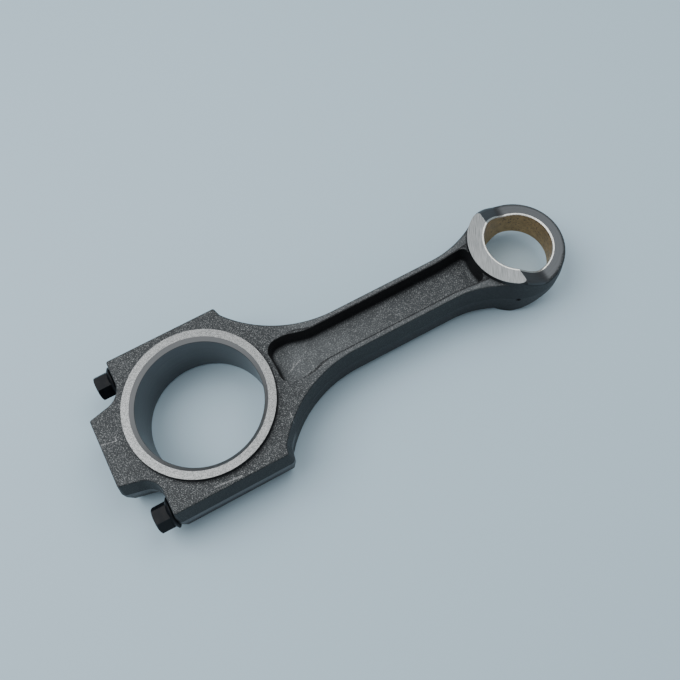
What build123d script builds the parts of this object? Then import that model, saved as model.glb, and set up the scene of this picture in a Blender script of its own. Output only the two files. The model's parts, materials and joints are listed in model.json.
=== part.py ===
"""Connecting rod of a medium-duty diesel engine: forged rod, cap, two cap bolts and a pin bush.

Millimetres. +Z runs along both bores and +X from the crankpin bore to the wrist-pin bore.
The origin is the centre of the crankpin bore, on the parting plane of the forging.
The cap is broken from the rod across the bore axis, so the two meet on the plane X = 0.
"""
import os
from math import cos, hypot, radians, sin, sqrt, tan

from build123d import *

# ---------------------------------------------------------------- driving dimensions
CENTRES = 211.0                 # crankpin bore axis to wrist-pin bore axis

CRANK_BORE_DIA = 74.0           # housing bore for the bearing shells
CRANK_CHAMFER = 2.4             # 45 degree chamfer at both ends of that bore
THRUST_RING_WALL = 7.0          # machined thrust face, from the bore to its outer edge
BIG_END_WIDTH = 41.0            # over the two thrust faces
FORGING_THICKNESS = 32.2        # over the two as-forged faces
THRUST_RING_FILLET = 1.6        # foot of the thrust ring

BOLT_BORE_WALL = 2.0            # crankpin bore wall to the thread's outer size
BOLT_SIDE_WALL = 8.3            # bolt axis to the forged side, at the parting line
SHOULDER_WALL = 8.8             # end of the tapped hole to the rod shoulder
SHOULDER_LEAN = 1.8             # how far the shoulder leans towards the shank
SHOULDER_FLANK = 8.6            # forged side to where the long curve to the shank begins
CAP_SEAT_SETBACK = 3.8          # thrust ring's outer edge to the forged bolt seat, along the rod
CAP_BLOCK_WALL = 17.6           # thrust ring to the outer end of the cap's middle block
CAP_BLOCK_SIDE_WALL = 10.0      # thrust ring to the side of that block, at the bolt seats
CAP_BLOCK_TAPER = 4.9           # how much each side of the block narrows to its outer end
CAP_NOTCH_RADIUS = 10.0         # between the block and the bolt seats
BIG_END_DRAFT = 9.0             # degrees
BIG_END_CORNER_RADIUS = 3.2     # corners seen from above, at the parting line
PARTING_LAND = 5.3              # upright band at the parting line of the big end
FORGED_EDGE_RADIUS = 0.9        # outer edges of the forged faces

SHANK_HALF_WIDTH = 15.1         # at the parting line
SHANK_DRAFT = 3.4               # degrees
SHANK_OVERLAP = 3.3             # length of the shoulder curve that runs inside the shoulder
SHOULDER_RADIUS = 72.7          # long concave curve from shoulder to shank
EYE_BLEND_RADIUS = 59.7         # concave curve from shank to small end

POCKET_HALF_WIDTH = 10.8        # at the forged face
POCKET_WIDE_HALF_WIDTH = 14.3   # at the big end
POCKET_WIDE_LENGTH = 15.4       # its wide stretch beside the thrust ring
POCKET_FLARE_LENGTH = 12.5      # where it narrows towards the shank
POCKET_RING_GAP = 3.3           # pocket rim to thrust ring
POCKET_UNDER_EYE = 4.4          # wall left between the bush and the pocket's hidden end
POCKET_END_HALF_WIDTH = 12.8    # at the small end
POCKET_SPREAD_LENGTH = 49.0     # last stretch of the pocket, where its sides spread
POCKET_BIG_CORNER_RADIUS = 7.5
POCKET_FLARE_START_RADIUS = 14.0
POCKET_FLARE_END_RADIUS = 24.0
POCKET_SPREAD_RADIUS = 60.0
POCKET_SMALL_CORNER_RADIUS = 4.0
POCKET_DRAFT = 7.0              # degrees
WEB_THICKNESS = 8.4
POCKET_FLOOR_RADIUS = 3.2

PIN_BORE_DIA = 41.6             # finished bore of the bush
BUSH_WALL = 1.3
BUSH_MOUTH_RADIUS = 0.7         # rounded lead-in at both ends
EYE_WALL = 7.6                  # steel round the bush, at the wide faces
EYE_SETBACK = 1.5               # centre of the eye's outline before the pin axis
EYE_WIDTH = 39.0                # over the wide faces, on the shank side
EYE_DRAFT = 3.0                 # degrees
EYE_STEP_WIDTH = 20.0           # over the stepped faces, on the piston side
EYE_STEP_X = 11.8               # edge of the wide faces, before the pin axis
EYE_RAMP_LENGTH = 14.0          # slope from the wide faces down to the stepped faces
EYE_RAMP_FOOT_RADIUS = 10.0     # hollow at the foot of that slope
EYE_EDGE_RADIUS = 2.4           # outer edge of the stepped faces

BOLT_THREAD_DIA = 10.0
BOLT_PITCH = 1.25
BOLT_REACH = 20.4               # bolt tip past the joint
BOLT_WAIST = 1.0                # plain shank below the thread's outer size, on diameter
BOLT_THREAD_LENGTH = 24.0
BOLT_FLANGE_DIA = 18.8
BOLT_FLANGE_THICKNESS = 2.4
BOLT_FLANGE_SLOPE = 45.0        # degrees from the bolt axis
BOLT_HEAD_HEIGHT = 11.0         # flange included
BOLT_ACROSS_FLATS = 14.0
BOLT_HEAD_BEVEL = 30.0          # degrees, on the hexagon's outer corners
BOLT_UNDERHEAD_RADIUS = 0.6
BOLT_TIP_CHAMFER = 0.4
SEAT_SKIM = 0.6                 # depth machined off the forged bolt seat
SEAT_CLEARANCE = 0.8            # round the bolt flange
CAP_HOLE_CLEARANCE = 0.5        # on diameter, round the bolt
THREAD_CLEARANCE = 0.2          # on diameter, in the tapped hole
TAP_RUNOUT = 3.6                # full thread below the bolt's tip
HOLE_MOUTH_CHAMFER = 0.7
DRILL_POINT = 0.6               # cone depth over radius

CENTRE_MARK_DIA = 3.2           # centre-drilled mark on the side of the small end
CENTRE_MARK_DEPTH = 1.6
CENTRE_MARK_ANGLE = 244.0       # degrees round the pin axis
CENTRE_MARK_DROP = 1.5          # below the parting plane

# ---------------------------------------------------------------- worked-out sizes
FACE_Z = FORGING_THICKNESS / 2
RING_Z = BIG_END_WIDTH / 2
EYE_Z = EYE_WIDTH / 2
EYE_STEP_Z = EYE_STEP_WIDTH / 2
WEB_Z = WEB_THICKNESS / 2
LAND_Z = PARTING_LAND / 2
CRANK_BORE_RADIUS = CRANK_BORE_DIA / 2
RING_RADIUS = CRANK_BORE_RADIUS + THRUST_RING_WALL
PIN_BORE_RADIUS = PIN_BORE_DIA / 2
BUSH_RADIUS = PIN_BORE_RADIUS + BUSH_WALL
EYE_RADIUS = BUSH_RADIUS + EYE_WALL
EYE_MID_RADIUS = EYE_RADIUS + EYE_Z * tan(radians(EYE_DRAFT))
EYE_X = CENTRES - EYE_SETBACK

BOLT_RADIUS = BOLT_THREAD_DIA / 2
BOLT_Y = CRANK_BORE_RADIUS + BOLT_BORE_WALL + BOLT_RADIUS
BIG_END_HALF_WIDTH = BOLT_Y + BOLT_SIDE_WALL
CAP_SEAT_X = RING_RADIUS - CAP_SEAT_SETBACK
CAP_BLOCK_X = RING_RADIUS + CAP_BLOCK_WALL
CAP_BLOCK_ROOT_HALF_WIDTH = sqrt(RING_RADIUS**2 - CAP_SEAT_X**2) + CAP_BLOCK_SIDE_WALL
CAP_BLOCK_HALF_WIDTH = CAP_BLOCK_ROOT_HALF_WIDTH - CAP_BLOCK_TAPER
BOLT_SEAT_X = CAP_SEAT_X - SEAT_SKIM
TAPPED_DEPTH = BOLT_REACH + TAP_RUNOUT
SHOULDER_X = TAPPED_DEPTH + SHOULDER_WALL
SHOULDER_FLANK_X = SHOULDER_X + SHOULDER_LEAN
SHOULDER_FLANK_Y = BIG_END_HALF_WIDTH - SHOULDER_FLANK
SHOULDER_RISE = SHOULDER_RADIUS + SHANK_HALF_WIDTH - SHOULDER_FLANK_Y
SHOULDER_CURVE_END_X = SHOULDER_FLANK_X + sqrt(SHOULDER_RADIUS**2 - SHOULDER_RISE**2)
TOLERANCE = 0.01                # for telling edges apart by their place
SIDES = (1, -1)


def shoulder_curve_y(x):
    """Half width of the long shoulder curve at x, at the parting line."""
    run = SHOULDER_CURVE_END_X - x
    return SHANK_HALF_WIDTH + SHOULDER_RADIUS - sqrt(SHOULDER_RADIUS**2 - run**2)


def edges_at(height):
    """Edges of the part being made that lie at one height."""
    return edges().filter_by(lambda e: all(abs(v.Z - height) < TOLERANCE for v in (e @ 0, e @ 0.5, e @ 1)))


def big_end_forging():
    """Upper half of the forged block round the crankpin bore, before the cap is broken off."""
    lower = [
        (-CAP_BLOCK_X, -CAP_BLOCK_HALF_WIDTH),
        (-CAP_SEAT_X, -CAP_BLOCK_ROOT_HALF_WIDTH),
        (-CAP_SEAT_X, -BIG_END_HALF_WIDTH),
        (SHOULDER_X, -BIG_END_HALF_WIDTH),
        (SHOULDER_FLANK_X, -SHOULDER_FLANK_Y),
        (SHOULDER_FLANK_X, -SHOULDER_FLANK_Y / 2),
    ]
    with BuildSketch() as outline:
        with BuildLine():
            Polyline(*lower, *[(x, -y) for x, y in reversed(lower)], close=True)
        make_face()
        seat_line = outline.vertices().filter_by_position(Axis.X, -CAP_SEAT_X - 1, -CAP_SEAT_X + 1)
        fillet(seat_line.sort_by(lambda v: abs(v.Y))[:2], CAP_NOTCH_RADIUS)
        block_ends = outline.vertices().group_by(Axis.X)[0]
        sides = outline.vertices().filter_by(lambda v: abs(v.Y) > BIG_END_HALF_WIDTH - TOLERANCE)
        fillet(block_ends + sides, BIG_END_CORNER_RADIUS)
    extrude(outline.sketch, amount=LAND_Z)
    with BuildSketch(Plane.XY.offset(LAND_Z)) as drafted:
        add(outline.sketch)
    extrude(drafted.sketch, amount=FACE_Z - LAND_Z, taper=BIG_END_DRAFT)
    fillet(edges_at(FACE_Z), FORGED_EDGE_RADIUS)


def shank_forging():
    """Upper half of the solid bar of the shank, from the shoulder curves into the small end."""
    start_x = SHOULDER_FLANK_X - SHANK_OVERLAP
    start = (start_x, -shoulder_curve_y(start_x))
    middle_x = (start_x + SHOULDER_CURVE_END_X) / 2
    middle = (middle_x, -shoulder_curve_y(middle_x))
    end = (SHOULDER_CURVE_END_X, -SHANK_HALF_WIDTH)
    blend_y = SHANK_HALF_WIDTH + EYE_BLEND_RADIUS
    blend_x = EYE_X - sqrt((EYE_BLEND_RADIUS + EYE_MID_RADIUS)**2 - blend_y**2)
    touch = Vector(blend_x - EYE_X, -blend_y).normalized() * EYE_MID_RADIUS
    touch_point = (EYE_X + touch.X, touch.Y)
    with BuildSketch() as outline:
        with BuildLine():
            Polyline((0, 0), (0, start[1]), start)
            ThreePointArc(start, middle, end)
            Line(end, (blend_x, -SHANK_HALF_WIDTH))
            RadiusArc((blend_x, -SHANK_HALF_WIDTH), touch_point, EYE_BLEND_RADIUS)
            Polyline(touch_point, (EYE_X, 0), (0, 0))
        make_face()
        mirror(about=Plane.XZ)
    bar = extrude(outline.sketch, amount=FACE_Z, taper=SHANK_DRAFT, mode=Mode.PRIVATE)
    rim = bar.faces().sort_by(Axis.Z)[-1].edges()
    flanks = rim.filter_by_position(Axis.X, SHOULDER_FLANK_X, EYE_X - EYE_RADIUS)
    add(bar.solid().fillet(FORGED_EDGE_RADIUS, flanks))


def small_end_forging():
    """Upper half of the eye of the small end, drafted from the parting plane."""
    with BuildSketch() as circle:
        with Locations((EYE_X, 0)):
            Circle(EYE_MID_RADIUS)
    extrude(circle.sketch, amount=EYE_Z, taper=EYE_DRAFT)


def pocket():
    """Upper pocket: its rim follows the thrust ring at one end and runs into the eye at the other."""
    ring_rim = RING_RADIUS + POCKET_RING_GAP
    start_x = sqrt(ring_rim**2 - POCKET_WIDE_HALF_WIDTH**2)
    flare_x = start_x + POCKET_WIDE_LENGTH
    narrow_x = flare_x + POCKET_FLARE_LENGTH
    spread_x = CENTRES - POCKET_SPREAD_LENGTH
    end_x = CENTRES - BUSH_RADIUS - POCKET_UNDER_EYE
    upper = [
        (start_x, POCKET_WIDE_HALF_WIDTH),
        (flare_x, POCKET_WIDE_HALF_WIDTH),
        (narrow_x, POCKET_HALF_WIDTH),
        (spread_x, POCKET_HALF_WIDTH),
        (end_x, POCKET_END_HALF_WIDTH),
    ]
    lower = [(x, -y) for x, y in upper]
    corner_radii = {
        start_x: POCKET_BIG_CORNER_RADIUS,
        flare_x: POCKET_FLARE_START_RADIUS,
        narrow_x: POCKET_FLARE_END_RADIUS,
        spread_x: POCKET_SPREAD_RADIUS,
    }
    with BuildSketch(Plane.XY.offset(FACE_Z)) as rim:
        with BuildLine():
            Polyline(*upper)
            Polyline(*lower)
            ThreePointArc(upper[0], (ring_rim, 0), lower[0])
            Line(upper[-1], lower[-1])
        make_face()
        for corner_x, radius in corner_radii.items():
            corners = rim.vertices().filter_by_position(Axis.X, corner_x - TOLERANCE, corner_x + TOLERANCE)
            fillet(corners, radius)
    extrude(rim.sketch, amount=-(FACE_Z - WEB_Z), taper=POCKET_DRAFT, mode=Mode.SUBTRACT)


def upright_edges_at_eye():
    """Edges between floor and rim where the pocket's two sides meet the eye."""
    near_eye = edges().filter_by_position(Axis.X, EYE_X - EYE_MID_RADIUS - 1, CENTRES - BUSH_RADIUS)
    rising = near_eye.filter_by(lambda e: WEB_Z < e.center().Z < FACE_Z)
    return rising.filter_by(lambda e: abs(e.center().Y) < POCKET_END_HALF_WIDTH)


def eye_step():
    """Upper cut that narrows the piston side of the small end, with the slope that leads down to it."""
    edge_x = CENTRES - EYE_STEP_X
    foot_x = edge_x + EYE_RAMP_LENGTH
    far_x = CENTRES + 2 * EYE_RADIUS
    above = 2 * EYE_Z
    with BuildSketch(Plane.XZ) as profile:
        with BuildLine():
            Polyline(
                (edge_x, EYE_Z),
                (foot_x, EYE_STEP_Z),
                (far_x, EYE_STEP_Z),
                (far_x, above),
                (edge_x, above),
                close=True,
            )
        make_face()
        foot = vertices().filter_by_position(Axis.X, foot_x - TOLERANCE, foot_x + TOLERANCE)
        fillet(foot, EYE_RAMP_FOOT_RADIUS)
    extrude(profile.sketch, amount=2 * EYE_RADIUS, both=True, mode=Mode.SUBTRACT)


def stepped_outline():
    """Outer edge of the stepped face of the small end."""
    return edges_at(EYE_STEP_Z).filter_by(lambda e: hypot((e @ 0.5).X - EYE_X, (e @ 0.5).Y) > EYE_RADIUS)


def thrust_ring():
    """Upper half of the machined boss whose end is the thrust face."""
    with BuildSketch() as circle:
        Circle(RING_RADIUS)
    extrude(circle.sketch, amount=RING_Z)


def ring_foot():
    """Edge where the thrust ring rises from the forged face."""
    round_edges = edges_at(FACE_Z).filter_by(GeomType.CIRCLE)
    return round_edges.filter_by(lambda e: abs(hypot((e @ 0.5).X, (e @ 0.5).Y) - RING_RADIUS) < TOLERANCE)


def crankpin_bore():
    """Housing bore with its two end chamfers, cut through whichever half is being made."""
    half_profile = [
        (0, -RING_Z),
        (CRANK_BORE_RADIUS + CRANK_CHAMFER, -RING_Z),
        (CRANK_BORE_RADIUS, -RING_Z + CRANK_CHAMFER),
        (CRANK_BORE_RADIUS, RING_Z - CRANK_CHAMFER),
        (CRANK_BORE_RADIUS + CRANK_CHAMFER, RING_Z),
        (0, RING_Z),
    ]
    with BuildSketch(Plane.XZ) as profile:
        with BuildLine():
            Polyline(*half_profile, close=True)
        make_face()
    revolve(profile.sketch, axis=Axis.Z, mode=Mode.SUBTRACT)


def tapped_holes():
    """Blind tapped holes in the rod shoulders, plain at the thread's clearance diameter."""
    radius = (BOLT_THREAD_DIA + THREAD_CLEARANCE) / 2
    half_profile = [
        (0, 0),
        (0, radius + HOLE_MOUTH_CHAMFER),
        (HOLE_MOUTH_CHAMFER, radius),
        (TAPPED_DEPTH, radius),
        (TAPPED_DEPTH + radius * DRILL_POINT, 0),
    ]
    for side in SIDES:
        with BuildSketch(Plane((0, side * BOLT_Y, 0))) as profile:
            with BuildLine():
                Polyline(*half_profile, close=True)
            make_face()
        revolve(profile.sketch, axis=Axis((0, side * BOLT_Y, 0), (1, 0, 0)), mode=Mode.SUBTRACT)


def centre_mark():
    """Small centre-drilled mark on the side of the small end."""
    angle = radians(CENTRE_MARK_ANGLE)
    outward = Vector(cos(angle), sin(angle), 0)
    wall = Vector(EYE_X, 0, -CENTRE_MARK_DROP) + outward * (EYE_MID_RADIUS - CENTRE_MARK_DEPTH)
    with Locations(Plane(origin=wall, z_dir=outward)):
        on_point = (Align.CENTER, Align.CENTER, Align.MIN)
        Cone(0, CENTRE_MARK_DIA, 2 * CENTRE_MARK_DEPTH, align=on_point, mode=Mode.SUBTRACT)


def cap_bolt_holes():
    """Clearance holes and machined seats for the two bolts."""
    radius = (BOLT_THREAD_DIA + CAP_HOLE_CLEARANCE) / 2
    for side in SIDES:
        along = Plane(origin=(0, side * BOLT_Y, 0), x_dir=(0, 1, 0), z_dir=(-1, 0, 0))
        with BuildSketch(along) as hole:
            Circle(radius)
        extrude(hole.sketch, amount=CAP_BLOCK_X, mode=Mode.SUBTRACT)
        with BuildSketch(along.offset(BOLT_SEAT_X)) as seat:
            Circle(BOLT_FLANGE_DIA / 2 + SEAT_CLEARANCE)
        extrude(seat.sketch, amount=CAP_BLOCK_X, mode=Mode.SUBTRACT)
    mouths = edges().filter_by(GeomType.CIRCLE).filter_by(lambda e: abs(e.radius - radius) < TOLERANCE)
    chamfer(mouths, HOLE_MOUTH_CHAMFER)


def bolt_solid(side):
    """Hexagon cap bolt with an integral flange, along -X from the joint to its head."""
    axis_y = side * BOLT_Y
    seat = -BOLT_SEAT_X
    thread_depth = BOLT_PITCH * sqrt(3) / 2 * 17 / 24       # metric external thread
    crest_width = BOLT_PITCH / 8
    root = BOLT_RADIUS - thread_depth
    shank_radius = (BOLT_THREAD_DIA - BOLT_WAIST) / 2
    shank_end = BOLT_REACH - BOLT_THREAD_LENGTH
    flank = (BOLT_PITCH - crest_width) / 2
    turns = int(BOLT_THREAD_LENGTH / BOLT_PITCH) - 1
    thread = []
    for turn in range(turns):
        start = shank_end + BOLT_PITCH * (turn + 0.5)
        thread += [(start, root), (start + flank, BOLT_RADIUS), (start + flank + crest_width, BOLT_RADIUS)]
    profile = [
        (seat, 0),
        (seat, shank_radius + BOLT_UNDERHEAD_RADIUS),
        (seat + BOLT_UNDERHEAD_RADIUS, shank_radius),
        (shank_end, shank_radius),
        *thread,
        (shank_end + BOLT_PITCH * (turns + 0.5), root),
        (BOLT_REACH, root - BOLT_TIP_CHAMFER),
        (BOLT_REACH, 0),
    ]
    with BuildSketch(Plane((0, axis_y, 0))) as half:
        with BuildLine():
            Polyline(*profile, close=True)
        make_face()
    revolve(half.sketch, axis=Axis((0, axis_y, 0), (1, 0, 0)))
    outward = Plane(origin=(seat, axis_y, 0), x_dir=(0, 1, 0), z_dir=(-1, 0, 0))
    rim = BOLT_FLANGE_THICKNESS / 2
    with BuildSketch(outward) as flange:
        Circle(BOLT_FLANGE_DIA / 2)
    extrude(flange.sketch, amount=rim)
    with BuildSketch(outward.offset(rim)) as cone:
        Circle(BOLT_FLANGE_DIA / 2)
    extrude(cone.sketch, amount=BOLT_FLANGE_THICKNESS - rim, taper=BOLT_FLANGE_SLOPE)
    corner_radius = BOLT_ACROSS_FLATS / sqrt(3)
    with BuildSketch(outward.offset(rim)) as hexagon:
        RegularPolygon(corner_radius, 6)
    extrude(hexagon.sketch, amount=BOLT_HEAD_HEIGHT - rim)
    head_end = seat - BOLT_HEAD_HEIGHT
    top_radius = BOLT_ACROSS_FLATS / 2
    outside = 2 * corner_radius
    slope = tan(radians(BOLT_HEAD_BEVEL))
    with BuildSketch(Plane((0, axis_y, 0))) as bevel:
        with BuildLine():
            Polyline(
                (head_end, top_radius),
                (head_end + (outside - top_radius) * slope, outside),
                (head_end, outside),
                close=True,
            )
        make_face()
    revolve(bevel.sketch, axis=Axis((0, axis_y, 0), (1, 0, 0)), mode=Mode.SUBTRACT)


# ---------------------------------------------------------------- rod forging
with BuildPart() as rod:
    big_end_forging()
    split(bisect_by=Plane.YZ, keep=Keep.TOP)
    shank_forging()
    pocket()
    small_end_forging()
    fillet(upright_edges_at_eye(), POCKET_SMALL_CORNER_RADIUS)
    fillet(edges_at(WEB_Z), POCKET_FLOOR_RADIUS)
    eye_step()
    fillet(stepped_outline(), EYE_EDGE_RADIUS)
    thrust_ring()
    split(bisect_by=Plane.YZ, keep=Keep.TOP)
    fillet(ring_foot(), THRUST_RING_FILLET)
    mirror(about=Plane.XY)
    crankpin_bore()
    tapped_holes()
    with Locations((CENTRES, 0, 0)):
        Cylinder(BUSH_RADIUS, EYE_WIDTH, mode=Mode.SUBTRACT)
    centre_mark()

# ---------------------------------------------------------------- big-end cap
with BuildPart() as cap:
    big_end_forging()
    thrust_ring()
    split(bisect_by=Plane.YZ, keep=Keep.BOTTOM)
    fillet(ring_foot(), THRUST_RING_FILLET)
    mirror(about=Plane.XY)
    crankpin_bore()
    cap_bolt_holes()

# ---------------------------------------------------------------- pin bush
with BuildPart() as bush:
    with BuildSketch() as disc:
        with Locations((CENTRES, 0)):
            Circle(BUSH_RADIUS)
            Circle(PIN_BORE_RADIUS, mode=Mode.SUBTRACT)
    extrude(amount=EYE_Z)
    eye_step()
    mouth = edges().filter_by(
        lambda e: e.center().Z > EYE_STEP_Z - TOLERANCE
        and abs(hypot((e @ 0.5).X - CENTRES, (e @ 0.5).Y) - PIN_BORE_RADIUS) < TOLERANCE
    )
    fillet(mouth, BUSH_MOUTH_RADIUS)
    mirror(about=Plane.XY)

# ---------------------------------------------------------------- cap bolts
with BuildPart() as bolt_left:
    bolt_solid(+1)

with BuildPart() as bolt_right:
    bolt_solid(-1)

# ---------------------------------------------------------------- export
os.makedirs("parts", exist_ok=True)
pieces = {
    "rod": rod,
    "cap": cap,
    "pin_bush": bush,
    "cap_bolt_left": bolt_left,
    "cap_bolt_right": bolt_right,
}
for name, piece in pieces.items():
    piece.part.label = name
    export_step(piece.part, f"parts/{name}.step")
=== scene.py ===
# %% [markdown]
# # A forged connecting rod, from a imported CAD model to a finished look
#
# A connecting rod joins an engine's piston to its crankshaft. This one is a steel forging whose
# big end was broken in two, so that the cap can be bolted back round the crankpin, and whose
# small end holds a bronze-lined bush. The CAD model already has every size. The lesson gives it
# its surfaces, swaps the plain bolts for finely made ones, and sets up the light and the camera.

# %% Load the CAD model
import json
import math

import bmesh
import bpy
from mathutils import Matrix, Vector


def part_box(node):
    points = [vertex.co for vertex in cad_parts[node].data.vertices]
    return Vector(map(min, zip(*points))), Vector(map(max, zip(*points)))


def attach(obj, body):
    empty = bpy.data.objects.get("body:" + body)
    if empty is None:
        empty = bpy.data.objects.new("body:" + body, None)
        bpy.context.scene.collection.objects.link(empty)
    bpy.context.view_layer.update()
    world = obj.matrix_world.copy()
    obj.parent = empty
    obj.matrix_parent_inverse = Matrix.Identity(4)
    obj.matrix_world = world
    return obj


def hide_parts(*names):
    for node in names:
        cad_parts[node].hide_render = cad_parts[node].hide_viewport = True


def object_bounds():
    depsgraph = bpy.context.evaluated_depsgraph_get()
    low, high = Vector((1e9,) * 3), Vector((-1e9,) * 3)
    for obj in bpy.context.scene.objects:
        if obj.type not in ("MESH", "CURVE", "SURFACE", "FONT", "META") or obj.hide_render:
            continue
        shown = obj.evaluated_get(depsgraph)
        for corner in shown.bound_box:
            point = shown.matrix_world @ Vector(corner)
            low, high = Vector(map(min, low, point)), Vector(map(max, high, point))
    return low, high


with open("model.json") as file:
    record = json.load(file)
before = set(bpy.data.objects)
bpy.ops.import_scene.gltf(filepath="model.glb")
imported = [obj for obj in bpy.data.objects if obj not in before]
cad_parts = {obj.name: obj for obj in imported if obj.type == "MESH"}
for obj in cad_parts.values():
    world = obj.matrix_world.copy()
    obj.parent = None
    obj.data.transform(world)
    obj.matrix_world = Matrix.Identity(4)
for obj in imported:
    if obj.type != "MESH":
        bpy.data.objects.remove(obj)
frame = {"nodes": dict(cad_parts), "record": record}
cad_low, cad_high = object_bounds()
print("CAD nodes:", sorted(frame["nodes"]))
print("CAD box in mm:", [round(1000 * side, 1) for side in cad_high - cad_low])

# %% [markdown]
# ## Landmarks
#
# Every later cell measures from a few places on the rod. They come from the model's own mounts
# and boxes, so that nothing has to be fitted by eye. Blender works in metres, and a machinist in
# millimetres, so MM turns one into the other.

# %% Landmarks from the model
MM = 0.001
mounts = {mount["name"]: mount for mount in frame["record"]["mounts"]}
crank_radius = mounts["crankpin_bore"]["dims"]["r_mm"]
pin_radius = mounts["wrist_pin_bore"]["dims"]["r_mm"]
pin_x = mounts["wrist_pin_bore"]["pos_m"][0] / MM
ring_z = cad_high.z / MM
eye_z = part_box("pin_bush")[1].z / MM
bush_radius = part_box("pin_bush")[1].y / MM
print("pin axis", pin_x, "crank bore", crank_radius, "pin bore", pin_radius, "bush", round(bush_radius, 2))
print("thrust face height", round(ring_z, 2), "small end height", round(eye_z, 2))

# %% [markdown]
# ## The camera
#
# The camera comes first, because a look is judged through it. It stands high over the rod's near
# side and looks down steeply. A camera is easiest to place by where it is, what it aims at and
# how far it leans: the aim gives the direction, and the lean turns the picture upright.

# %% Camera
CAMERA_PLACE = Vector((0.0277, -0.1670, 0.4422))
CAMERA_AIM = Vector((0.08946, 0.00168, 0.0))
CAMERA_LEAN = math.radians(-8.54)
CAMERA_LENS = 42.26              # millimetres, on a sensor 36 mm wide
CAMERA_SENSOR = 36
CAMERA_NEAREST = 0.01

camera_data = bpy.data.cameras.new("camera")
camera_data.lens = CAMERA_LENS
camera_data.sensor_width = CAMERA_SENSOR
camera_data.clip_start = CAMERA_NEAREST
camera = bpy.data.objects.new("camera", camera_data)
bpy.context.scene.collection.objects.link(camera)
looking = (CAMERA_AIM - CAMERA_PLACE).to_track_quat("-Z", "Y").to_matrix().to_4x4()
camera.matrix_world = Matrix.Translation(CAMERA_PLACE) @ looking @ Matrix.Rotation(CAMERA_LEAN, 4, "Z")
bpy.context.scene.camera = camera
print("camera height above the floor in mm:", round((CAMERA_PLACE.z - cad_low.z) / MM))

# %% [markdown]
# ## The table top
#
# The rod lies on a plain pale sheet. A single large square is enough, because only its colour and
# the soft shadow on it are seen.

# %% Table top
SHEET_COLOUR = (0.515, 0.675, 0.775, 1)
SHEET_ROUGHNESS = 0.65
TABLE_HALF_SIZE = 3.0

floor_mesh = bmesh.new()
bmesh.ops.create_grid(floor_mesh, x_segments=1, y_segments=1, size=TABLE_HALF_SIZE)
bmesh.ops.translate(floor_mesh, verts=floor_mesh.verts, vec=(0, 0, cad_low.z))
floor_data = bpy.data.meshes.new("table_top")
floor_mesh.to_mesh(floor_data)
floor_mesh.free()
table_top = bpy.data.objects.new("table_top", floor_data)
bpy.context.scene.collection.objects.link(table_top)

sheet = bpy.data.materials.new("pale_sheet")
sheet.use_nodes = True
sheet_shader = sheet.node_tree.nodes["Principled BSDF"]
sheet_shader.inputs["Base Color"].default_value = SHEET_COLOUR
sheet_shader.inputs["Roughness"].default_value = SHEET_ROUGHNESS
floor_data.materials.append(sheet)
print("table top at", round(cad_low.z / MM, 2), "mm")

# %% [markdown]
# ## The light
#
# Steel shows its shape by what it mirrors. A large soft light overhead gives broad bright faces
# and shadows without an edge. It stands to the left and on the far side, so the shadows fall
# towards the near right. A weaker light on the right keeps the table even, and a dim bluish sky
# fills the walls and lifts the shadows.

# %% Sky and lights
SKY_COLOUR = (0.92, 0.96, 1.0, 1)
SKY_STRENGTH = 0.42
LAMP_COLOUR = (0.97, 0.99, 1.0)

world = bpy.data.worlds.new("studio")
world.use_nodes = True
sky = world.node_tree.nodes["Background"]
sky.inputs["Color"].default_value = SKY_COLOUR
sky.inputs["Strength"].default_value = SKY_STRENGTH
bpy.context.scene.world = world


def soft_light(name, place, aim, size, power):
    """Square area light at one place that shines at another."""
    lamp = bpy.data.lights.new(name, "AREA")
    lamp.size = size
    lamp.energy = power
    lamp.color = LAMP_COLOUR
    light = bpy.data.objects.new(name, lamp)
    light.location = place
    light.rotation_euler = (Vector(aim) - Vector(place)).to_track_quat("-Z", "Y").to_euler()
    bpy.context.scene.collection.objects.link(light)
    print(name, "at", place, "gives", power, "W")


soft_light("softbox", (-0.42, 0.32, 1.0), (0.04, 0.0, 0.0), size=0.9, power=9.5)
soft_light("fill", (0.62, 0.15, 1.1), (0.12, 0.0, 0.0), size=0.8, power=5.0)

# %% [markdown]
# ## A small kit for shading
#
# Each finish is drawn by a network of nodes. Writing a network out node by node hides what it
# says, so this kit gives it a shorter hand: a sum, a mask or a noise is one call, and the calls
# read like the recipe of the finish. Places are in millimetres, because the finish is.

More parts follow.
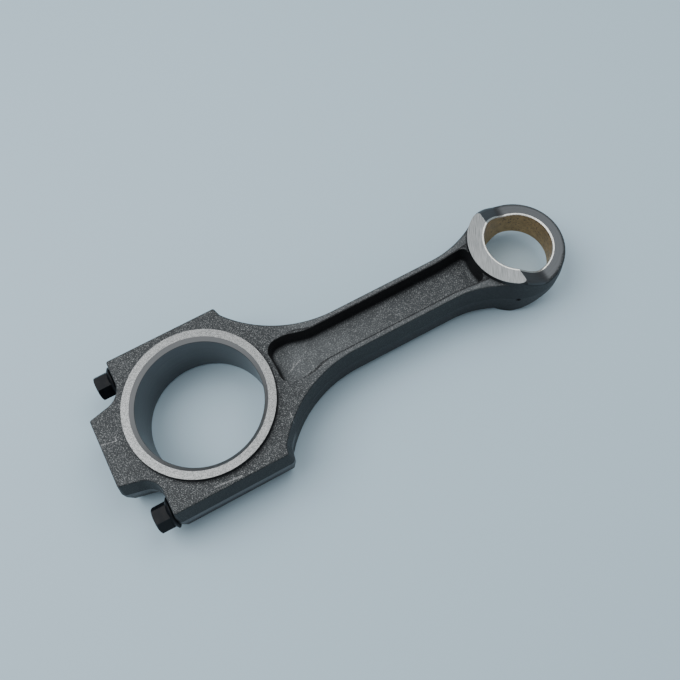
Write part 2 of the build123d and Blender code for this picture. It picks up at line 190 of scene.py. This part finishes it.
# %% Shading kit
class Finish:
    """One material, built up by short calls. Sockets and plain numbers may be mixed freely."""

    def __init__(self, name):
        self.material = bpy.data.materials.new(name)
        self.material.use_nodes = True
        self.nodes = self.material.node_tree.nodes
        self.links = self.material.node_tree.links
        self.shader = self.nodes["Principled BSDF"]
        coordinates = self.nodes.new("ShaderNodeTexCoord")
        self.place = self.vector("SCALE", coordinates.outputs["Object"], scale=1 / MM)
        self.facing = coordinates.outputs["Normal"]
        self.x, self.y, self.z = self.split(self.place)
        self.height = self.number("ABSOLUTE", self.z)

    def feed(self, socket, value):
        if isinstance(value, bpy.types.NodeSocket):
            self.links.new(value, socket)
        else:
            socket.default_value = value

    def number(self, operation, *values):
        node = self.nodes.new("ShaderNodeMath")
        node.operation = operation
        for socket, value in zip(node.inputs, values):
            self.feed(socket, value)
        return node.outputs[0]

    def vector(self, operation, *values, scale=None):
        node = self.nodes.new("ShaderNodeVectorMath")
        node.operation = operation
        for socket, value in zip(node.inputs, values):
            self.feed(socket, value)
        if scale is not None:
            self.feed(node.inputs["Scale"], scale)
        return node.outputs["Value"] if operation in ("LENGTH", "DOT_PRODUCT") else node.outputs["Vector"]

    def split(self, vector):
        node = self.nodes.new("ShaderNodeSeparateXYZ")
        self.feed(node.inputs[0], vector)
        return node.outputs[0], node.outputs[1], node.outputs[2]

    def join(self, x, y, z):
        node = self.nodes.new("ShaderNodeCombineXYZ")
        for socket, value in zip(node.inputs, (x, y, z)):
            self.feed(socket, value)
        return node.outputs[0]

    def ramp(self, value, start, end, low=0.0, high=1.0):
        """Smooth step of a value: low before start, high after end."""
        node = self.nodes.new("ShaderNodeMapRange")
        node.interpolation_type = "SMOOTHSTEP"
        settings = {"Value": value, "From Min": start, "From Max": end, "To Min": low, "To Max": high}
        for name, setting in settings.items():
            self.feed(node.inputs[name], setting)
        return node.outputs["Result"]

    def above(self, value, limit, blur=0.06):
        return self.ramp(value, limit - blur, limit + blur)

    def below(self, value, limit, blur=0.06):
        return self.ramp(value, limit - blur, limit + blur, 1.0, 0.0)

    def both(self, *masks):
        result = masks[0]
        for mask in masks[1:]:
            result = self.number("MULTIPLY", result, mask)
        return result

    def either(self, *masks):
        result = masks[0]
        for mask in masks[1:]:
            result = self.number("MAXIMUM", result, mask)
        return result

    def noise(self, grain, stretch=(1, 1, 1), place=None, detail=2.0, roughness=0.6):
        """Noise whose lumps are about grain millimetres across, longer where stretch is larger."""
        node = self.nodes.new("ShaderNodeTexNoise")
        shrink = tuple(1 / (grain * s) for s in stretch)
        self.feed(node.inputs["Vector"], self.vector("MULTIPLY", place or self.place, shrink))
        node.inputs["Scale"].default_value = 1.0
        node.inputs["Detail"].default_value = detail
        node.inputs["Roughness"].default_value = roughness
        return node.outputs["Fac"]

    def mix(self, factor, first, second):
        """Second over first, where factor is one. Works on colours."""
        node = self.nodes.new("ShaderNodeMix")
        node.data_type = "RGBA"
        self.feed(node.inputs[0], factor)
        self.feed(node.inputs[6], first)
        self.feed(node.inputs[7], second)
        return node.outputs[2]

    def blend(self, factor, first, second):
        """Second over first, where factor is one. Works on numbers."""
        node = self.nodes.new("ShaderNodeMix")
        node.data_type = "FLOAT"
        self.feed(node.inputs[0], factor)
        self.feed(node.inputs[2], first)
        self.feed(node.inputs[3], second)
        return node.outputs[0]

    def radius_from(self, x, y):
        """Distance from an upright axis through (x, y)."""
        across = self.number("SUBTRACT", self.x, x)
        along = self.number("SUBTRACT", self.y, y)
        return self.vector("LENGTH", self.join(across, along, 0.0))

    def distance_from(self, value, level):
        """How far a number lies from one level, on either side."""
        return self.number("ABSOLUTE", self.number("SUBTRACT", value, level))

    def relief(self, height, depth):
        """Bump from a height between 0 and 1 that stands for depth millimetres."""
        node = self.nodes.new("ShaderNodeBump")
        node.inputs["Strength"].default_value = 1.0
        node.inputs["Distance"].default_value = depth * MM
        self.feed(node.inputs["Height"], height)
        self.links.new(node.outputs["Normal"], self.shader.inputs["Normal"])

    def finish(self, colour, roughness, metal):
        self.feed(self.shader.inputs["Base Color"], colour)
        self.feed(self.shader.inputs["Roughness"], roughness)
        self.feed(self.shader.inputs["Metallic"], metal)
        print(self.material.name, "has", len(self.nodes), "nodes")
        return self.material


# %% [markdown]
# ## Forged steel
#
# The rod leaves the press with a dark scale, and shot blasting turns that into a fine salt and
# pepper grain. Faces that look up or down get lighter greys than the walls as painted light, and
# the walls, the inner edges of the two flanges and the pocket's floor towards the small end get
# painted shade. A skin like this could be painted face by face, but nodes that know their place
# and which way a face looks say it once.

# %% Forged steel
# FORGED_DARK is the dark scale, and also painted shade on the walls and the flanges' inner edges. The greys
# after it go on faces that look up or down, lighter than the walls as painted light.
FORGED_DARK = (0.011, 0.012, 0.014, 1)
FORGED_LIGHT = (0.036, 0.040, 0.043, 1)
FORGED_FLANGE = (0.075, 0.082, 0.087, 1)
FORGED_FLOOR = (0.085, 0.093, 0.098, 1)
# Painted shade on the pocket's floor towards the small end.
POCKET_FLOOR_SHADE = (0.045, 0.050, 0.054, 1)
BLASTED_FLECK = (0.32, 0.33, 0.33, 1)
LAND_GREY = (0.105, 0.115, 0.126, 1)
SCRATCH_STEEL = (0.34, 0.345, 0.345, 1)
MARK_BLACK = (0.003, 0.003, 0.004, 1)
POCKET_HALF_WIDTH = 10.8         # half width of the pocket's rim along the shank
POCKET_WIDE_HALF_WIDTH = 14.3    # and beside the thrust ring
POCKET_SPREAD_WIDTH = 2.0        # what it gains towards the small end
POCKET_FLARE = (63.0, 78.0)      # where it narrows, along the rod
POCKET_SPREAD = (158.0, 186.0)   # where it widens again
# Breadth of the painted shade along the flanges' inner edges.
RIM_SHADE_BREADTH = 0.7                # dark inner edge of the flanges
FLOOR_HEIGHT = 8.0               # the pocket's floor lies lower than this
MARK_PLACE = (196.0, -27.6, -1.5)
MARK_RADIUS = 1.9
LAND_HALF_HEIGHT = 2.65          # upright band where the two dies met
LAND_END = 40.0                  # how far it runs towards the shank
LAND_START = 4.0                 # outside the crankpin bore's wall

# Handling marks on the upper side: both ends in the rod's plane, and how broad each is.
HANDLING_MARKS = [
    ((-58.9, 5.1), (-50.0, 3.1), 0.28),
    ((-49.7, 5.6), (-50.3, 2.8), 0.22),
    ((52.6, -3.7), (62.6, 0.4), 0.25),
    ((55.4, -3.0), (59.2, 1.3), 0.2),
    ((42.6, -29.0), (41.6, -34.6), 0.22),
    ((-12.4, -47.0), (3.2, -48.6), 0.45),
    ((-1.4, -47.4), (2.0, -49.0), 0.3),
]
MARK_WANDER = 0.5                # how far a mark strays from its straight line
UPPER_SIDE = 3.0                 # marks lie above this height


def handling_marks(steel):
    """Thin broken scratches, by their distance from a straight line between two ends."""
    flat = steel.join(steel.x, steel.y, 0.0)
    wander = steel.noise(2.2)
    breaks = steel.above(steel.noise(0.6), 0.50, 0.10)
    marks = []
    for start, end, breadth in HANDLING_MARKS:
        a = Vector((*start, 0))
        run = Vector((*end, 0)) - a
        offset = steel.vector("SUBTRACT", flat, tuple(a))
        along = steel.vector("DOT_PRODUCT", offset, tuple(run))
        along = steel.number("DIVIDE", along, run.length_squared)
        along = steel.number("MINIMUM", steel.number("MAXIMUM", along, 0.0), 1.0)
        nearest = steel.vector("SCALE", tuple(run), scale=along)
        gap = steel.vector("LENGTH", steel.vector("SUBTRACT", offset, nearest))
        gap = steel.number("ADD", gap, steel.number("MULTIPLY", wander, MARK_WANDER))
        marks.append(steel.below(gap, MARK_WANDER / 2 + breadth, 0.15))
    upper = steel.above(steel.z, UPPER_SIDE)
    return steel.both(steel.either(*marks), breaks, upper)


def upward_greys_and_shade(steel):
    """Greys of upward faces with painted shade on the flanges' inner edges and the pocket's floor, and the
    edge shade's mask.
    """
    narrow, spread = POCKET_FLARE, POCKET_SPREAD
    half_width = steel.ramp(steel.x, *narrow, POCKET_WIDE_HALF_WIDTH, POCKET_HALF_WIDTH)
    gained = steel.ramp(steel.x, *spread, 0.0, POCKET_SPREAD_WIDTH)
    half_width = steel.number("ADD", half_width, gained)
    from_rim = steel.number("SUBTRACT", steel.number("ABSOLUTE", steel.y), half_width)
    beside_pocket = steel.both(steel.above(steel.x, narrow[0], 12.0), steel.below(steel.x, spread[1], 4.0))
    flange = steel.both(beside_pocket, steel.above(from_rim, RIM_SHADE_BREADTH, 0.2))
    # Painted shade along the flanges' inner edges, beside the pocket.
    rim = steel.both(beside_pocket, steel.below(from_rim, RIM_SHADE_BREADTH, 0.2), steel.above(from_rim, -0.6, 0.4))
    # The pocket's floor darkens towards the small end as painted shade.
    floor = steel.mix(steel.ramp(steel.x, narrow[0], spread[0]), FORGED_FLOOR, POCKET_FLOOR_SHADE)
    greys = steel.mix(flange, FORGED_LIGHT, FORGED_FLANGE)
    greys = steel.mix(rim, greys, FORGED_DARK)
    greys = steel.mix(steel.below(steel.height, FLOOR_HEIGHT, 3.0), greys, floor)
    return greys, steel.both(rim, steel.above(steel.height, FLOOR_HEIGHT))


def forged_skin(steel, crank, up, grit, blotch, fleck, marks):
    """Colour of everything that no tool has cut, with painted shade on the walls."""
    greys, rim_painted_shade = upward_greys_and_shade(steel)
    # Faces that look up or down get the lighter greys as painted light, and the walls keep the dark colour as
    # painted shade. The blotch noise varies the tone at random.
    lit_faces_and_blotch = steel.both(steel.ramp(up, 0.25, 0.95), steel.ramp(blotch, 0.25, 0.75, 0.75, 1.0))
    # The flanges' inner edges get less of the lighter greys, as painted shade.
    lit_faces_and_blotch = steel.both(lit_faces_and_blotch, steel.blend(rim_painted_shade, 1.0, 0.25))
    skin = steel.mix(lit_faces_and_blotch, FORGED_DARK, greys)
    # The flecks are kept faint on the walls, along with the painted shade.
    skin = steel.mix(steel.both(fleck, steel.blend(lit_faces_and_blotch, 0.14, 0.85)), skin, BLASTED_FLECK)
    low = steel.below(steel.height, LAND_HALF_HEIGHT, 0.25)
    outside = steel.above(crank, crank_radius + LAND_START)
    land = steel.both(low, outside, steel.below(steel.x, LAND_END, 1.5))
    skin = steel.mix(steel.both(land, steel.ramp(grit, 0.2, 0.7, 0.5, 1.0)), skin, LAND_GREY)
    from_mark = steel.vector("LENGTH", steel.vector("SUBTRACT", steel.place, MARK_PLACE))
    skin = steel.mix(steel.below(from_mark, MARK_RADIUS, 0.3), skin, MARK_BLACK)
    return steel.mix(marks, skin, SCRATCH_STEEL)


# %% [markdown]
# ## The machined faces
#
# Then a few faces are cut bright: the thrust rings, the bores, the small end's sides and the bolt
# seats, while the joint shows the broken grain. Each has the trace of its own tool. The thrust ring
# has a fine even sparkle, the small end's wide faces have straight strokes, and the bores have
# rings. They need no materials of their own, since each lies at a height or a radius of its own,
# so a mask for each lays its paint over the forged skin.

# %% Machined faces
GROUND_DULL = (0.12, 0.124, 0.126, 1)
GROUND_BRIGHT = (0.42, 0.425, 0.42, 1)
STROKED_DULL = (0.16, 0.17, 0.175, 1)
STROKED_BRIGHT = (0.34, 0.35, 0.35, 1)
BORED_DULL = (0.105, 0.108, 0.114, 1)
BORED_BRIGHT = (0.15, 0.153, 0.158, 1)
CHAMFER_STEEL = (0.46, 0.465, 0.47, 1)
MILLED_DULL = (0.058, 0.062, 0.066, 1)
MILLED_STEEL = (0.105, 0.111, 0.117, 1)
BROKEN_DULL = (0.10, 0.10, 0.105, 1)
BROKEN_STEEL = (0.30, 0.30, 0.31, 1)
STROKE_ANGLE = math.radians(28)
FACE_MARGIN = 0.1                # a face is told by its height to this
CHAMFER_REACH = 2.6              # the bore's end chamfer, outside its wall
EYE_STEP_X = 11.8                # the small end's wide faces stop this far before the pin axis
EYE_STEP_HEIGHT = 9.9            # and its stepped faces lie just above this
EYE_REACH = 32.5                 # all of the eye's machined faces lie this near to the pin axis
SEAT_X = -39.6                   # machined seats of the bolt heads
DENT_DEPTH = 0.12
STEEL_SHEEN = 0.3


def turned_place(steel, angle):
    """The place turned about the upright axis, for strokes that run aslant."""
    node = steel.nodes.new("ShaderNodeVectorRotate")
    node.rotation_type = "Z_AXIS"
    node.inputs["Angle"].default_value = angle
    steel.feed(node.inputs["Vector"], steel.place)
    return node.outputs["Vector"]


def forged_steel(name):
    """The whole of the rod and the cap: forged skin under machined faces."""
    steel = Finish(name)
    crank = steel.radius_from(0.0, 0.0)
    pin = steel.radius_from(pin_x, 0.0)
    facing_x, _, facing_z = steel.split(steel.facing)
    up = steel.number("ABSOLUTE", facing_z)
    endways = steel.above(steel.number("ABSOLUTE", facing_x), 0.9, 0.05)

    # Where each machined face lies.
    thrust_face = steel.above(steel.height, ring_z - FACE_MARGIN)
    bore = steel.below(crank, crank_radius + CHAMFER_REACH)
    bore_wall = steel.below(crank, crank_radius + 0.15)
    at_eye = steel.below(pin, EYE_REACH)
    wide_face = steel.both(steel.above(steel.height, eye_z - FACE_MARGIN), at_eye)
    past_step = steel.above(steel.x, pin_x - EYE_STEP_X, 0.03)
    above_step = steel.above(steel.height, EYE_STEP_HEIGHT)
    step_face = steel.both(past_step, at_eye, above_step, steel.above(up, 0.35, 0.1))
    broken = steel.both(endways, steel.below(steel.number("ABSOLUTE", steel.x), 0.04, 0.02))
    seat = steel.both(endways, steel.below(steel.distance_from(steel.x, SEAT_X), FACE_MARGIN, 0.03))

    # The forged skin.
    grit = steel.noise(0.45, detail=3.0)
    blotch = steel.noise(7.0, detail=3.0)
    fleck = steel.above(steel.noise(0.55, detail=2.0, roughness=0.7), 0.60, 0.07)
    marks = handling_marks(steel)
    forged = forged_skin(steel, crank, up, grit, blotch, fleck, marks)

    # The trace of each tool, and the paint made from it.
    sparkle = steel.noise(0.35, detail=2.0)
    strokes = steel.noise(0.30, stretch=(1, 30, 1), place=turned_place(steel, STROKE_ANGLE), detail=2.0)
    rings = steel.noise(0.35, stretch=(60, 60, 1), detail=1.0)
    turned = steel.noise(0.4, place=steel.join(pin, 0.0, 0.0), detail=1.0)
    grain = steel.noise(0.8, detail=4.0)
    ground = steel.mix(steel.ramp(sparkle, 0.32, 0.68), GROUND_DULL, GROUND_BRIGHT)
    stroked = steel.mix(steel.ramp(strokes, 0.25, 0.75), STROKED_DULL, STROKED_BRIGHT)
    milled = steel.mix(steel.ramp(turned, 0.3, 0.7, 0.5, 1.0), MILLED_DULL, MILLED_STEEL)
    bored = steel.mix(steel.ramp(rings, 0.3, 0.7, 0.0, 0.45), BORED_DULL, BORED_BRIGHT)
    bored = steel.mix(bore_wall, CHAMFER_STEEL, bored)
    torn = steel.mix(steel.ramp(grain, 0.35, 0.65), BROKEN_DULL, BROKEN_STEEL)

    # Lay the paints over the skin, each with its roughness and how metallic it is.
    colour = forged
    rough = steel.ramp(grit, 0.3, 0.7, 0.62, 0.46)
    metal = steel.blend(fleck, 0.25, 0.8)
    for mask, paint, dull, shine in (
        (seat, MILLED_STEEL, 0.42, 1.0),
        (step_face, milled, 0.42, 1.0),
        (wide_face, stroked, 0.40, 1.0),
        (bore, bored, 0.36, 1.0),
        (thrust_face, ground, 0.44, 1.0),
        (broken, torn, 0.55, 0.9),
    ):
        colour = steel.mix(mask, colour, paint)
        rough = steel.blend(mask, rough, dull)
        metal = steel.blend(mask, metal, shine)

    # The relief: dents in the skin, faint tool traces on the cut faces, rubble at the joint.
    dents = steel.number("ADD", steel.number("MULTIPLY", grit, 0.7), steel.number("MULTIPLY", blotch, 0.8))
    dents = steel.number("SUBTRACT", dents, steel.number("MULTIPLY", marks, 0.4))
    trace = steel.blend(thrust_face, steel.blend(wide_face, rings, strokes), sparkle)
    machined = steel.either(thrust_face, wide_face, step_face, bore, seat)
    height = steel.blend(machined, dents, steel.number("MULTIPLY", trace, 0.16))
    height = steel.blend(broken, height, steel.number("MULTIPLY", grain, 3.0))
    steel.relief(height, DENT_DEPTH)
    steel.shader.inputs["Specular IOR Level"].default_value = STEEL_SHEEN
    return steel.finish(colour, rough, metal)


steel_material = forged_steel("forged_steel")


def dress(node_name, material):
    """Give every slot of a CAD node one material."""
    piece = frame["nodes"][node_name]
    if not piece.material_slots:
        piece.data.materials.append(material)
    for slot in piece.material_slots:
        slot.material = material
    print(node_name, "wears", material.name, "in", len(piece.material_slots), "slot")


dress("rod", steel_material)
dress("cap", steel_material)

# %% [markdown]
# ## The pin bush
#
# The bush is a steel strip with a bronze lining, rolled into a ring, pressed in and bored. So its
# wall is brown gold with dark specks and fine boring rings, while its thin rounded mouth shows the
# bright cut edge of the strip. The radius tells the two apart.

# %% Bronze lining
BRONZE = (0.34, 0.225, 0.105, 1)
BRONZE_BRIGHT = (0.50, 0.35, 0.18, 1)
BRONZE_SPECK = (0.07, 0.05, 0.03, 1)
STRIP_EDGE = (0.58, 0.58, 0.55, 1)
LINING_DEPTH = 0.08


def bush_bronze(name):
    """Bronze wall with dark specks and boring rings, and a bright mouth."""
    bush = Finish(name)
    pin = bush.radius_from(pin_x, 0.0)
    mouth = bush.above(pin, pin_radius + 0.07, 0.04)
    cloud = bush.noise(5.0, detail=3.0)
    rings = bush.noise(0.35, stretch=(60, 60, 1), detail=1.0)
    speck = bush.above(bush.noise(1.1, detail=2.0), 0.61, 0.03)
    lining = bush.mix(bush.ramp(cloud, 0.3, 0.7), BRONZE, BRONZE_BRIGHT)
    lining = bush.mix(bush.ramp(rings, 0.35, 0.65, 0.0, 0.3), lining, BRONZE)
    lining = bush.mix(speck, lining, BRONZE_SPECK)
    colour = bush.mix(mouth, lining, STRIP_EDGE)
    rough = bush.blend(mouth, bush.ramp(cloud, 0.3, 0.7, 0.42, 0.54), 0.25)
    metal = bush.blend(mouth, bush.blend(speck, 0.75, 0.2), 1.0)
    height = bush.number("ADD", bush.number("MULTIPLY", rings, 0.15), bush.number("MULTIPLY", speck, -0.5))
    bush.relief(height, LINING_DEPTH)
    return bush.finish(colour, rough, metal)


dress("pin_bush", bush_bronze("bush_bronze"))

# %% [markdown]
# ## The cap bolts
#
# The cap is held by two flanged hexagon bolts. The CAD bolts have the right sizes but sharp corners
# and plain rings for a thread, so finer ones take their places. Their outer sizes come from the box
# of a CAD bolt, and are measured along the bolt from its seat: the head one way, the tip the other.

# %% Bolt sizes
bolt_low, bolt_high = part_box("cap_bolt_left")
FLANGE_RADIUS = (bolt_high.z - bolt_low.z) / 2 / MM
BOLT_SPACING_HALF = (bolt_low.y + bolt_high.y) / 2 / MM
HEAD_END = SEAT_X - bolt_low.x / MM       # from the seat outwards
TIP = bolt_high.x / MM - SEAT_X           # from the seat inwards
ACROSS_FLATS = 14.0
THREAD_RADIUS = 5.0
THREAD_PITCH = 1.25
THREAD_DEPTH = 0.77
THREAD_LENGTH = 22.5
WAIST_RADIUS = 4.5
FLANGE_RIM = 1.2
FLANGE_HEIGHT = 2.4
HEAD_TOP_RADIUS = 6.7
HEAD_DISH = 0.5
HEAD_RIM = 1.1                   # flat rim round the dish
HEAD_DISH_SLOPE = 0.5            # width of the slope into the dish
HEAD_FOOT = 1.5                  # the hexagon starts inside the flange, this far from the seat
HEAD_SIDE_CUTS = 11              # extra points along each flat, so that the bevel can curve
BEVEL_SLOPE = math.tan(math.radians(30))
print("bolt head stands", round(HEAD_END, 2), "mm off its seat and the bolt reaches", round(TIP, 2), "mm in")

# %% [markdown]
# ## Making a bolt
#
# A turned shape is best spun from half of its outline, so the flange, the waist and the shank come
# from one spin. The thread is a small tooth carried round and along in one screw turn after
# another. The hexagon is a six-sided ring whose corners are cut back by a cone, which leaves the
# curved edges that every real head has.

# %% Bolt making
SPIN_STEPS = 64
TURN_STEPS = 28                  # steps in one turn of the thread
FADE = 0.05                      # what is left of the tooth at the thread's ends
MERGE_DISTANCE = 1e-5


def kept(items, kind):
    """The vertices or the edges out of a mixed list."""
    return [item for item in items if isinstance(item, kind)]


def spin_outline(shape, outline):
    """Turn a half outline of (along, radius) points about the X axis into a closed solid."""
    corners = [shape.verts.new((along, 0.0, radius)) for along, radius in outline]
    sides = [shape.edges.new(pair) for pair in zip(corners, corners[1:])]
    bmesh.ops.spin(shape, geom=corners + sides, cent=(0, 0, 0), axis=(1, 0, 0), angle=math.tau,
                   steps=SPIN_STEPS, use_merge=True)
    bmesh.ops.remove_doubles(shape, verts=shape.verts[:], dist=MERGE_DISTANCE)


def turned_shank(shape):
    """Underside of the head, waist, threaded core and chamfered tip."""
    root = THREAD_RADIUS - THREAD_DEPTH
    thread_start = TIP - THREAD_LENGTH
    spin_outline(shape, [
        (-FLANGE_HEIGHT - 0.6, 0.0),
        (-FLANGE_HEIGHT - 0.6, ACROSS_FLATS / 2 - 0.4),
        (-FLANGE_HEIGHT, ACROSS_FLATS / 2 + 0.6),
        (-FLANGE_RIM - 0.25, FLANGE_RADIUS - 0.55),
        (-FLANGE_RIM, FLANGE_RADIUS - 0.2),
        (-FLANGE_RIM + 0.35, FLANGE_RADIUS),
        (-0.45, FLANGE_RADIUS),
        (-0.15, FLANGE_RADIUS - 0.12),
        (0.0, FLANGE_RADIUS - 0.45),
        (0.0, WAIST_RADIUS + 0.55),
        (0.2, WAIST_RADIUS + 0.2),
        (0.6, WAIST_RADIUS),
        (thread_start - 0.8, WAIST_RADIUS),
        (thread_start, root),
        (TIP - 0.9, root),
        (TIP, root - 0.7),
        (TIP, 0.0),
    ])


def screw_thread(shape):
    """A small tooth carried round and along the core."""
    root = THREAD_RADIUS - THREAD_DEPTH - 0.15
    crest = THREAD_PITCH / 8
    foot = THREAD_PITCH * 0.46
    start = TIP - THREAD_LENGTH + 0.2
    turns = int((THREAD_LENGTH - 2.2) / THREAD_PITCH)
    tooth = [(-foot, root), (-crest / 2, THREAD_RADIUS), (crest / 2, THREAD_RADIUS), (foot, root)]
    corners = [shape.verts.new((start + foot + along, 0.0, radius)) for along, radius in tooth]
    first = shape.faces.new(corners)
    steps = turns * TURN_STEPS
    made = bmesh.ops.spin(shape, geom=[first], cent=(0, 0, 0), axis=(1, 0, 0), angle=math.tau * turns,
                          steps=steps, dvec=(turns * THREAD_PITCH / steps, 0, 0))
    # Fade both ends of the thread into the core by drawing the end teeth inwards.
    last = kept(made["geom_last"], bmesh.types.BMFace)[0]
    for face in (first, last):
        for corner in face.verts:
            reach = math.hypot(corner.co.y, corner.co.z)
            if reach > root + 2 * FADE:
                corner.co.y *= (root + FADE) / reach
                corner.co.z *= (root + FADE) / reach


def hexagon_head(shape):
    """Hexagon with cone-cut corners and a dish in its top, laid over onto the bolt's axis."""
    bmesh.ops.create_circle(shape, cap_ends=False, segments=6, radius=ACROSS_FLATS / math.sqrt(3))
    bmesh.ops.subdivide_edges(shape, edges=shape.edges[:], cuts=HEAD_SIDE_CUTS)
    foot = shape.verts[:]
    walls = bmesh.ops.extrude_edge_only(shape, edges=shape.edges[:])["geom"]
    for corner in foot:
        corner.co.z = HEAD_FOOT
    for corner in kept(walls, bmesh.types.BMVert):
        cut = max(0.0, corner.co.xy.length - HEAD_TOP_RADIUS) * BEVEL_SLOPE
        corner.co.z = HEAD_END - cut
    edge = kept(walls, bmesh.types.BMEdge)
    dish_radius = HEAD_TOP_RADIUS - HEAD_RIM - HEAD_DISH_SLOPE
    for radius, height in (
        (HEAD_TOP_RADIUS, HEAD_END),
        (HEAD_TOP_RADIUS - HEAD_RIM, HEAD_END),
        (dish_radius, HEAD_END - HEAD_DISH),
    ):
        step = bmesh.ops.extrude_edge_only(shape, edges=edge)["geom"]
        edge = kept(step, bmesh.types.BMEdge)
        for corner in kept(step, bmesh.types.BMVert):
            corner.co.xy = corner.co.xy.normalized() * radius
            corner.co.z = height
    bmesh.ops.contextual_create(shape, geom=edge)
    bmesh.ops.contextual_create(shape, geom=[side for side in shape.edges if side.is_boundary])
    lay_over = Matrix.Rotation(-math.pi / 2, 3, "Y")
    bmesh.ops.rotate(shape, verts=shape.verts[:], cent=(0, 0, 0), matrix=lay_over)


def bolt_mesh(side):
    """One finished bolt, in its place on the +Y side (1) or the -Y side (-1)."""
    shape = bmesh.new()
    hexagon_head(shape)
    turned_shank(shape)
    screw_thread(shape)
    bmesh.ops.recalc_face_normals(shape, faces=shape.faces[:])
    bmesh.ops.translate(shape, verts=shape.verts[:], vec=(SEAT_X, side * BOLT_SPACING_HALF, 0))
    bmesh.ops.scale(shape, verts=shape.verts[:], vec=(MM, MM, MM))
    data = bpy.data.meshes.new("cap_bolt")
    shape.to_mesh(data)
    shape.free()
    return data


# %% [markdown]
# ## Black oxide
#
# The bolts are blackened in a hot salt bath, which leaves a thin blue-black skin with a slight
# sheen. The skin isn't even, so one slow noise lifts its colour a little and changes its
# roughness in clouds, as on a bolt that has been handled. It isn't a bare metal, so it gets no
# metallic shine at all.

# %% Black oxide
OXIDE_BLACK = (0.002, 0.0025, 0.004, 1)
OXIDE_GREY = (0.005, 0.007, 0.010, 1)
OXIDE_DEPTH = 0.02
OXIDE_SHEEN = 0.18


def black_oxide(name):
    """Near-black skin, cloudy in colour and roughness."""
    black = Finish(name)
    cloud = black.noise(4.0, detail=3.0)
    grit = black.noise(0.25, detail=2.0)
    colour = black.mix(black.ramp(cloud, 0.3, 0.75), OXIDE_BLACK, OXIDE_GREY)
    black.relief(grit, OXIDE_DEPTH)
    black.shader.inputs["Specular IOR Level"].default_value = OXIDE_SHEEN
    return black.finish(colour, black.ramp(cloud, 0.3, 0.7, 0.40, 0.55), 0.0)


black_material = black_oxide("black_bolt")

# %% [markdown]
# ## Putting the bolts in
#
# Each finished bolt rides on the body of the CAD bolt that it replaces, so it moves with it when
# the rod is taken apart. Smooth shading would blur its edges, so every edge that turns by more
# than a set angle is kept sharp.

# %% Two finished bolts
SHARP_ANGLE = math.radians(35)

for name, side, body in (("left", 1, "bolt_left"), ("right", -1, "bolt_right")):
    bolt = bpy.data.objects.new("flanged_bolt_" + name, bolt_mesh(side))
    bpy.context.scene.collection.objects.link(bolt)
    bolt.data.materials.append(black_material)
    bolt.data.shade_smooth()
    bolt.data.set_sharp_from_angle(angle=SHARP_ANGLE)
    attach(bolt, body)
    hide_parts("cap_bolt_" + name)
    print(bolt.name, "has", len(bolt.data.polygons), "faces")
